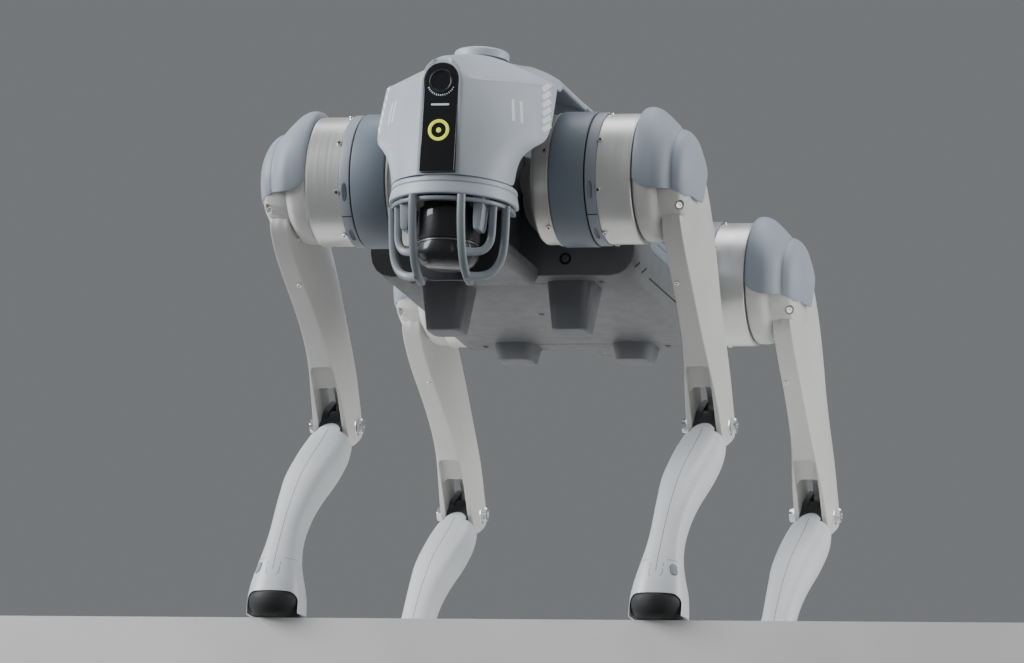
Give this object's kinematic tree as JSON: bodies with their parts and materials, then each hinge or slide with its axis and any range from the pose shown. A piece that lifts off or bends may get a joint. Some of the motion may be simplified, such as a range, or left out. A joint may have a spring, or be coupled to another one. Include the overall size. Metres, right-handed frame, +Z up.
{
  "type": "quadruped robot",
  "caption": "Four-legged walking robot with a prow-shaped camera head, a caged scanner below it, side-loading batteries and rod-driven knees.",
  "frame": {"origin": "centre of the footprint of the whole robot, on the floor", "axes": "+Z up, -Y towards the camera head, +X towards the robot's left side"},
  "size_m": [0.4422, 0.8273, 0.55],
  "materials": {
    "shell_grey": "fine satin moulded plastic, cool grey",
    "shell_dark": "matte moulded plastic, blue grey",
    "gloss_black": "polished black window",
    "lens_glass": "coated lens",
    "lamp_yellow": "lamp diffuser",
    "satin_silver": "bead-blasted anodised aluminium",
    "warm_silver": "warm light grey paint on cast aluminium",
    "white_shell": "smooth white paint",
    "dark_metal": "dark coated steel",
    "cage_metal": "satin steel",
    "black_plastic": "black plastic",
    "chrome": "polished",
    "rubber": "black rubber"
  },
  "bodies": {
    "trunk": {"belly_shell": "shell_grey", "upper_shell": "shell_grey", "head_shell": "shell_grey", "tail_shell": "shell_grey", "chassis_frame": "dark_metal", "computer_box": "black_plastic", "camera_window": "gloss_black", "camera_lens": "lens_glass", "ring_lamp": "lamp_yellow", "scanner_cage": "cage_metal", "belly_rests": "shell_grey", "roll_motors": "black_plastic", "top_cap": "shell_grey", "scanner_collar": "shell_grey", "scanner": "black_plastic", "scanner_brackets": "shell_grey", "bay_wall": "black_plastic"},
    "left_battery": {"battery_left": "shell_dark"},
    "right_battery": {"battery_right": "shell_dark"},
    "button": {"power_button": "chrome"},
    "front_left_hip": {"front_left_hip_housing": "satin_silver", "front_left_thigh_motor": "satin_silver"},
    "front_left_thigh": {"front_left_thigh_shell": "warm_silver", "front_left_thigh_cover": "shell_dark", "front_left_knee_pin": "chrome"},
    "front_left_crank": {"front_left_knee_crank": "dark_metal"},
    "front_left_rod": {"front_left_push_rod": "satin_silver"},
    "front_left_calf": {"front_left_calf_knuckle": "dark_metal", "front_left_calf_shell": "white_shell", "front_left_foot_pad": "rubber"},
    "front_right_hip": {"front_right_hip_housing": "satin_silver", "front_right_thigh_motor": "satin_silver"},
    "front_right_thigh": {"front_right_thigh_shell": "warm_silver", "front_right_thigh_cover": "shell_dark", "front_right_knee_pin": "chrome"},
    "front_right_crank": {"front_right_knee_crank": "dark_metal"},
    "front_right_rod": {"front_right_push_rod": "satin_silver"},
    "front_right_calf": {"front_right_calf_knuckle": "dark_metal", "front_right_calf_shell": "white_shell", "front_right_foot_pad": "rubber"},
    "rear_left_hip": {"rear_left_hip_housing": "satin_silver", "rear_left_thigh_motor": "satin_silver"},
    "rear_left_thigh": {"rear_left_thigh_shell": "warm_silver", "rear_left_thigh_cover": "shell_dark", "rear_left_knee_pin": "chrome"},
    "rear_left_crank": {"rear_left_knee_crank": "dark_metal"},
    "rear_left_rod": {"rear_left_push_rod": "satin_silver"},
    "rear_left_calf": {"rear_left_calf_knuckle": "dark_metal", "rear_left_calf_shell": "white_shell", "rear_left_foot_pad": "rubber"},
    "rear_right_hip": {"rear_right_hip_housing": "satin_silver", "rear_right_thigh_motor": "satin_silver"},
    "rear_right_thigh": {"rear_right_thigh_shell": "warm_silver", "rear_right_thigh_cover": "shell_dark", "rear_right_knee_pin": "chrome"},
    "rear_right_crank": {"rear_right_knee_crank": "dark_metal"},
    "rear_right_rod": {"rear_right_push_rod": "satin_silver"},
    "rear_right_calf": {"rear_right_calf_knuckle": "dark_metal", "rear_right_calf_shell": "white_shell", "rear_right_foot_pad": "rubber"}
  },
  "joints": [
    {"name": "front_left_roll", "type": "hinge", "parent": "trunk", "child": "front_left_hip", "pos_m": [0.066, -0.2514, 0.429], "axis": [0, -1, 0], "range_deg": [-22, 25]},
    {"name": "front_left_pitch", "type": "hinge", "parent": "front_left_hip", "child": "front_left_thigh", "pos_m": [0.191, -0.2514, 0.429], "axis": [-1, 0, 0], "range_deg": [-45, 45]},
    {"name": "front_left_knee", "type": "hinge", "parent": "front_left_thigh", "child": "front_left_calf", "pos_m": [0.191, -0.0704, 0.224], "axis": [1, 0, 0], "range_deg": [-36, 42]},
    {"name": "front_left_crank", "type": "hinge", "parent": "front_left_thigh", "child": "front_left_crank", "pos_m": [0.191, -0.2514, 0.429], "axis": [1, 0, 0], "range_deg": [-43, 43]},
    {"name": "front_left_rod", "type": "hinge", "parent": "front_left_crank", "child": "front_left_rod", "pos_m": [0.191, -0.23539, 0.44949], "axis": [1, 0, 0], "range_deg": [-43, 43]},
    {"name": "front_right_roll", "type": "hinge", "parent": "trunk", "child": "front_right_hip", "pos_m": [-0.066, -0.2514, 0.429], "axis": [0, 1, 0], "range_deg": [-22, 25]},
    {"name": "front_right_pitch", "type": "hinge", "parent": "front_right_hip", "child": "front_right_thigh", "pos_m": [-0.191, -0.2514, 0.429], "axis": [-1, 0, 0], "range_deg": [-45, 45]},
    {"name": "front_right_knee", "type": "hinge", "parent": "front_right_thigh", "child": "front_right_calf", "pos_m": [-0.191, -0.0704, 0.224], "axis": [1, 0, 0], "range_deg": [-36, 42]},
    {"name": "front_right_crank", "type": "hinge", "parent": "front_right_thigh", "child": "front_right_crank", "pos_m": [-0.191, -0.2514, 0.429], "axis": [1, 0, 0], "range_deg": [-43, 43]},
    {"name": "front_right_rod", "type": "hinge", "parent": "front_right_crank", "child": "front_right_rod", "pos_m": [-0.191, -0.23539, 0.44949], "axis": [1, 0, 0], "range_deg": [-43, 43]},
    {"name": "rear_left_roll", "type": "hinge", "parent": "trunk", "child": "rear_left_hip", "pos_m": [0.066, 0.2054, 0.429], "axis": [0, -1, 0], "range_deg": [-22, 25]},
    {"name": "rear_left_pitch", "type": "hinge", "parent": "rear_left_hip", "child": "rear_left_thigh", "pos_m": [0.191, 0.2054, 0.429], "axis": [-1, 0, 0], "range_deg": [-45, 45]},
    {"name": "rear_left_knee", "type": "hinge", "parent": "rear_left_thigh", "child": "rear_left_calf", "pos_m": [0.191, 0.3864, 0.224], "axis": [1, 0, 0], "range_deg": [-36, 42]},
    {"name": "rear_left_crank", "type": "hinge", "parent": "rear_left_thigh", "child": "rear_left_crank", "pos_m": [0.191, 0.2054, 0.429], "axis": [1, 0, 0], "range_deg": [-43, 43]},
    {"name": "rear_left_rod", "type": "hinge", "parent": "rear_left_crank", "child": "rear_left_rod", "pos_m": [0.191, 0.22141, 0.44949], "axis": [1, 0, 0], "range_deg": [-43, 43]},
    {"name": "rear_right_roll", "type": "hinge", "parent": "trunk", "child": "rear_right_hip", "pos_m": [-0.066, 0.2054, 0.429], "axis": [0, 1, 0], "range_deg": [-22, 25]},
    {"name": "rear_right_pitch", "type": "hinge", "parent": "rear_right_hip", "child": "rear_right_thigh", "pos_m": [-0.191, 0.2054, 0.429], "axis": [-1, 0, 0], "range_deg": [-45, 45]},
    {"name": "rear_right_knee", "type": "hinge", "parent": "rear_right_thigh", "child": "rear_right_calf", "pos_m": [-0.191, 0.3864, 0.224], "axis": [1, 0, 0], "range_deg": [-36, 42]},
    {"name": "rear_right_crank", "type": "hinge", "parent": "rear_right_thigh", "child": "rear_right_crank", "pos_m": [-0.191, 0.2054, 0.429], "axis": [1, 0, 0], "range_deg": [-43, 43]},
    {"name": "rear_right_rod", "type": "hinge", "parent": "rear_right_crank", "child": "rear_right_rod", "pos_m": [-0.191, 0.22141, 0.44949], "axis": [1, 0, 0], "range_deg": [-43, 43]},
    {"name": "left_battery_slide", "type": "slide", "parent": "trunk", "child": "left_battery", "axis": [1, 0, 0], "range_m": [0, 0.09]},
    {"name": "right_battery_slide", "type": "slide", "parent": "trunk", "child": "right_battery", "axis": [-1, 0, 0], "range_m": [0, 0.09]},
    {"name": "button_press", "type": "slide", "parent": "trunk", "child": "button", "axis": [0, -1, 0], "range_m": [0, 0.002], "stiffness_N_per_m": 900}
  ],
  "couplings": [
    {"joint": "front_left_crank", "follows": "front_left_knee", "ratio": 1},
    {"joint": "front_left_rod", "follows": "front_left_knee", "ratio": -1},
    {"joint": "front_right_crank", "follows": "front_right_knee", "ratio": 1},
    {"joint": "front_right_rod", "follows": "front_right_knee", "ratio": -1},
    {"joint": "rear_left_crank", "follows": "rear_left_knee", "ratio": 1},
    {"joint": "rear_left_rod", "follows": "rear_left_knee", "ratio": -1},
    {"joint": "rear_right_crank", "follows": "rear_right_knee", "ratio": 1},
    {"joint": "rear_right_rod", "follows": "rear_right_knee", "ratio": -1}
  ]
}
